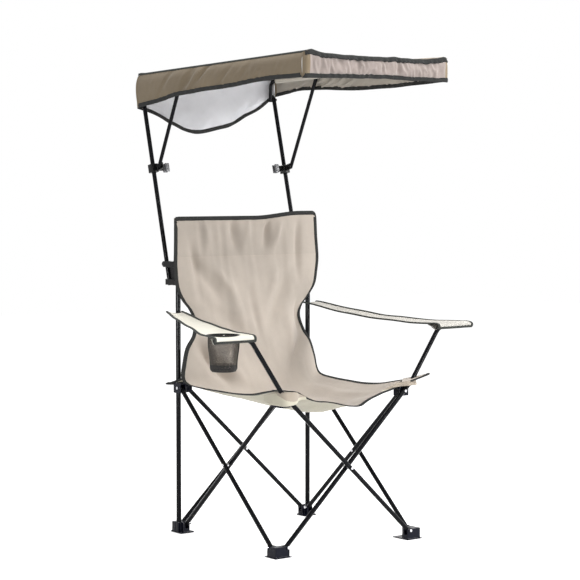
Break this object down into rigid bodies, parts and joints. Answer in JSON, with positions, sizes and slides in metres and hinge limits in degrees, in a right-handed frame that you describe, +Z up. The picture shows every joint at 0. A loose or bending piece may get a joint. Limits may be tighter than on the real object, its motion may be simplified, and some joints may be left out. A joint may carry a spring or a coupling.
{
  "type": "canopy folding chair",
  "caption": "Folding camp chair with a tan sling seat, cloth armrests, a cup holder and a tilting shade canopy on rear poles, on a black scissor tube frame.",
  "frame": {"origin": "on the floor under the middle of the bounding box", "axes": "+Z up, -Y the way the chair faces, +X the sitter's left"},
  "size_m": [1.016, 0.8522, 1.4667],
  "materials": {
    "black_steel": "gloss black powder coat",
    "foot_plastic": "gloss blue-black moulding",
    "fitting_plastic": "satin black moulding",
    "rivet_steel": "bright zinc",
    "sling_cloth": "tan woven polyester",
    "armrest_cloth": "cream woven polyester",
    "canopy_cloth": "khaki woven polyester",
    "canopy_lining": "silver-white coated cloth",
    "binding": "black bias binding",
    "grey_plastic": "grey moulding",
    "cup_mesh": "black open mesh"
  },
  "bodies": {
    "right_post": {"foot_rear_right": "foot_plastic", "foot_rear_right_cross_pin": "rivet_steel", "foot_rear_right_side_pin": "rivet_steel", "upright_right": "black_steel", "back_sling": "sling_cloth", "canopy_bracket_right": "fitting_plastic", "canopy_pole_right": "black_steel", "canopy_rail_pin_right": "rivet_steel"},
    "side_right_rising": {"side_tube_right_rising": "black_steel", "crossing_rivet_right": "rivet_steel"},
    "side_right_falling": {"side_tube_right_falling": "black_steel"},
    "front_foot_right": {"foot_front_right": "foot_plastic", "foot_front_right_cross_pin": "rivet_steel", "foot_front_right_side_pin": "rivet_steel"},
    "rear_hub_right": {"hub_rear_right": "foot_plastic", "hub_rear_right_cross_pin": "rivet_steel", "hub_rear_right_side_pin": "rivet_steel"},
    "front_hub_right": {"hub_front_right": "foot_plastic", "hub_front_right_side_pin": "rivet_steel", "hub_front_right_arm_pin": "rivet_steel"},
    "rear_rising": {"rear_tube_rising": "black_steel", "crossing_rivet_rear": "rivet_steel"},
    "rear_falling": {"rear_tube_falling": "black_steel"},
    "left_post": {"foot_rear_left": "foot_plastic", "foot_rear_left_cross_pin": "rivet_steel", "foot_rear_left_side_pin": "rivet_steel", "upright_left": "black_steel", "canopy_bracket_left": "fitting_plastic", "canopy_pole_left": "black_steel", "canopy_rail_pin_left": "rivet_steel"},
    "side_left_rising": {"side_tube_left_rising": "black_steel", "crossing_rivet_left": "rivet_steel"},
    "side_left_falling": {"side_tube_left_falling": "black_steel"},
    "front_foot_left": {"foot_front_left": "foot_plastic", "foot_front_left_cross_pin": "rivet_steel", "foot_front_left_side_pin": "rivet_steel"},
    "rear_hub_left": {"hub_rear_left": "foot_plastic", "hub_rear_left_cross_pin": "rivet_steel", "hub_rear_left_side_pin": "rivet_steel"},
    "front_hub_left": {"hub_front_left": "foot_plastic", "hub_front_left_side_pin": "rivet_steel", "hub_front_left_arm_pin": "rivet_steel"},
    "front_rising": {"arm_tube_left": "black_steel", "crossing_rivet_front": "rivet_steel"},
    "front_falling": {"arm_tube_right": "black_steel"},
    "seat_rear": {"seat_sling_rear": "sling_cloth"},
    "seat_front": {"seat_sling_front": "sling_cloth"},
    "armrest_right": {"armrest_right": "armrest_cloth", "cup_holder": "cup_mesh"},
    "armrest_left": {"armrest_left": "armrest_cloth"},
    "canopy_right": {"canopy_rail_right": "black_steel", "canopy_cloth": "canopy_cloth"},
    "canopy_left": {"canopy_rail_left": "black_steel"},
    "strut_right": {"canopy_strut_right": "black_steel"},
    "strut_left": {"canopy_strut_left": "black_steel"},
    "clamp_right": {"canopy_clamp_right": "fitting_plastic"},
    "clamp_left": {"canopy_clamp_left": "fitting_plastic"},
    "screw_right": {"thumb_screw_right": "fitting_plastic"},
    "screw_left": {"thumb_screw_left": "fitting_plastic"}
  },
  "joints": [
    {"name": "fold", "type": "hinge", "parent": "right_post", "child": "side_right_rising", "pos_m": [-0.244, 0.20585, 0.029], "axis": [-1, 0, 0], "range_deg": [0, 36], "deforming": ["back_sling", "seat_sling_rear", "seat_sling_front", "armrest_right", "armrest_left", "cup_holder", "canopy_cloth"]},
    {"name": "side_right_cross", "type": "hinge", "parent": "side_right_rising", "child": "side_right_falling", "pos_m": [-0.254, -0.02415, 0.243], "axis": [1, 0, 0], "range_deg": [0, 72]},
    {"name": "front_foot_right_level", "type": "hinge", "parent": "side_right_falling", "child": "front_foot_right", "pos_m": [-0.264, -0.25415, 0.029], "axis": [-1, 0, 0], "range_deg": [0, 36]},
    {"name": "rear_hub_right_level", "type": "hinge", "parent": "side_right_falling", "child": "rear_hub_right", "pos_m": [-0.264, 0.20585, 0.457], "axis": [-1, 0, 0], "range_deg": [0, 36]},
    {"name": "front_hub_right_level", "type": "hinge", "parent": "side_right_rising", "child": "front_hub_right", "pos_m": [-0.244, -0.25415, 0.457], "axis": [1, 0, 0], "range_deg": [0, 36]},
    {"name": "rear_fold", "type": "hinge", "parent": "right_post", "child": "rear_rising", "pos_m": [-0.23, 0.24435, 0.029], "axis": [0, -1, 0], "range_deg": [0, 36]},
    {"name": "rear_cross", "type": "hinge", "parent": "rear_rising", "child": "rear_falling", "pos_m": [0, 0.23435, 0.243], "axis": [0, 1, 0], "range_deg": [0, 72]},
    {"name": "left_post_level", "type": "hinge", "parent": "rear_falling", "child": "left_post", "pos_m": [0.23, 0.22435, 0.029], "axis": [0, -1, 0], "range_deg": [0, 36]},
    {"name": "side_left_fold", "type": "hinge", "parent": "left_post", "child": "side_left_rising", "pos_m": [0.244, 0.20585, 0.029], "axis": [-1, 0, 0], "range_deg": [0, 36]},
    {"name": "side_left_cross", "type": "hinge", "parent": "side_left_rising", "child": "side_left_falling", "pos_m": [0.254, -0.02415, 0.243], "axis": [1, 0, 0], "range_deg": [0, 72]},
    {"name": "front_foot_left_level", "type": "hinge", "parent": "side_left_falling", "child": "front_foot_left", "pos_m": [0.264, -0.25415, 0.029], "axis": [-1, 0, 0], "range_deg": [0, 36]},
    {"name": "rear_hub_left_level", "type": "hinge", "parent": "side_left_falling", "child": "rear_hub_left", "pos_m": [0.264, 0.20585, 0.457], "axis": [-1, 0, 0], "range_deg": [0, 36]},
    {"name": "front_hub_left_level", "type": "hinge", "parent": "side_left_rising", "child": "front_hub_left", "pos_m": [0.244, -0.25415, 0.457], "axis": [1, 0, 0], "range_deg": [0, 36]},
    {"name": "front_fold", "type": "hinge", "parent": "front_foot_right", "child": "front_rising", "pos_m": [-0.23, -0.28065, 0.029], "axis": [0, -1, 0], "range_deg": [0, 36]},
    {"name": "front_cross", "type": "hinge", "parent": "front_rising", "child": "front_falling", "pos_m": [0, -0.29065, 0.243], "axis": [0, 1, 0], "range_deg": [0, 72]},
    {"name": "seat_rear_drop", "type": "hinge", "parent": "rear_hub_right", "child": "seat_rear", "pos_m": [0, 0.20585, 0.457], "axis": [1, 0, 0], "range_deg": [0, 70]},
    {"name": "seat_front_drop", "type": "hinge", "parent": "front_hub_right", "child": "seat_front", "pos_m": [0, -0.25415, 0.457], "axis": [-1, 0, 0], "range_deg": [0, 70]},
    {"name": "armrest_right_lift", "type": "hinge", "parent": "right_post", "child": "armrest_right", "pos_m": [-0.258, 0.22785, 0.7], "axis": [-1, 0, 0], "range_deg": [0, 59]},
    {"name": "armrest_left_lift", "type": "hinge", "parent": "left_post", "child": "armrest_left", "pos_m": [0.258, 0.22785, 0.7], "axis": [-1, 0, 0], "range_deg": [0, 59]},
    {"name": "canopy_fold", "type": "hinge", "parent": "right_post", "child": "canopy_right", "pos_m": [-0.2485, 0.41435, 1.372], "axis": [1, 0, 0], "range_deg": [0, 35]},
    {"name": "canopy_left_fold", "type": "hinge", "parent": "left_post", "child": "canopy_left", "pos_m": [0.2485, 0.41435, 1.372], "axis": [1, 0, 0], "range_deg": [0, 35]},
    {"name": "strut_right_swing", "type": "hinge", "parent": "canopy_right", "child": "strut_right", "pos_m": [-0.2625, 0.18846, 1.43689], "axis": [-1, 0, 0], "range_deg": [0, 43.29]},
    {"name": "clamp_right_slide", "type": "slide", "parent": "right_post", "child": "clamp_right", "axis": [0, -0.2425, -0.9701], "range_m": [0, 0.1625]},
    {"name": "strut_left_swing", "type": "hinge", "parent": "canopy_left", "child": "strut_left", "pos_m": [0.2625, 0.18846, 1.43689], "axis": [-1, 0, 0], "range_deg": [0, 43.29]},
    {"name": "clamp_left_slide", "type": "slide", "parent": "left_post", "child": "clamp_left", "axis": [0, -0.2425, -0.9701], "range_m": [0, 0.1625]},
    {"name": "thumb_screw_right_turn", "type": "hinge", "parent": "right_post", "child": "screw_right", "pos_m": [-0.2625, 0.29185, 0.84], "axis": [0, 1, 0], "range_deg": [0, 360]},
    {"name": "thumb_screw_left_turn", "type": "hinge", "parent": "left_post", "child": "screw_left", "pos_m": [0.2625, 0.29185, 0.84], "axis": [0, 1, 0], "range_deg": [0, 360]}
  ],
  "couplings": [
    {"joint": "side_right_cross", "follows": "fold", "ratio": 2},
    {"joint": "front_foot_right_level", "follows": "fold", "ratio": 1},
    {"joint": "rear_hub_right_level", "follows": "fold", "ratio": 1},
    {"joint": "front_hub_right_level", "follows": "fold", "ratio": 1},
    {"joint": "rear_fold", "follows": "fold", "ratio": 1},
    {"joint": "rear_cross", "follows": "fold", "ratio": 2},
    {"joint": "left_post_level", "follows": "fold", "ratio": 1},
    {"joint": "side_left_fold", "follows": "fold", "ratio": 1},
    {"joint": "side_left_cross", "follows": "fold", "ratio": 2},
    {"joint": "front_foot_left_level", "follows": "fold", "ratio": 1},
    {"joint": "rear_hub_left_level", "follows": "fold", "ratio": 1},
    {"joint": "front_hub_left_level", "follows": "fold", "ratio": 1},
    {"joint": "front_fold", "follows": "fold", "ratio": 1},
    {"joint": "front_cross", "follows": "fold", "ratio": 2},
    {"joint": "seat_rear_drop", "follows": "fold", "ratio": 1.9444},
    {"joint": "seat_front_drop", "follows": "fold", "ratio": 1.9444},
    {"joint": "armrest_right_lift", "follows": "fold", "ratio": 1.6389},
    {"joint": "armrest_left_lift", "follows": "fold", "ratio": 1.6389},
    {"joint": "canopy_left_fold", "follows": "canopy_fold", "ratio": 1},
    {"joint": "strut_right_swing", "follows": "canopy_fold", "ratio": 1.2365},
    {"joint": "clamp_right_slide", "follows": "canopy_fold", "m_per_rad": 0.26585},
    {"joint": "strut_left_swing", "follows": "canopy_fold", "ratio": 1.2365},
    {"joint": "clamp_left_slide", "follows": "canopy_fold", "m_per_rad": 0.26585}
  ]
}
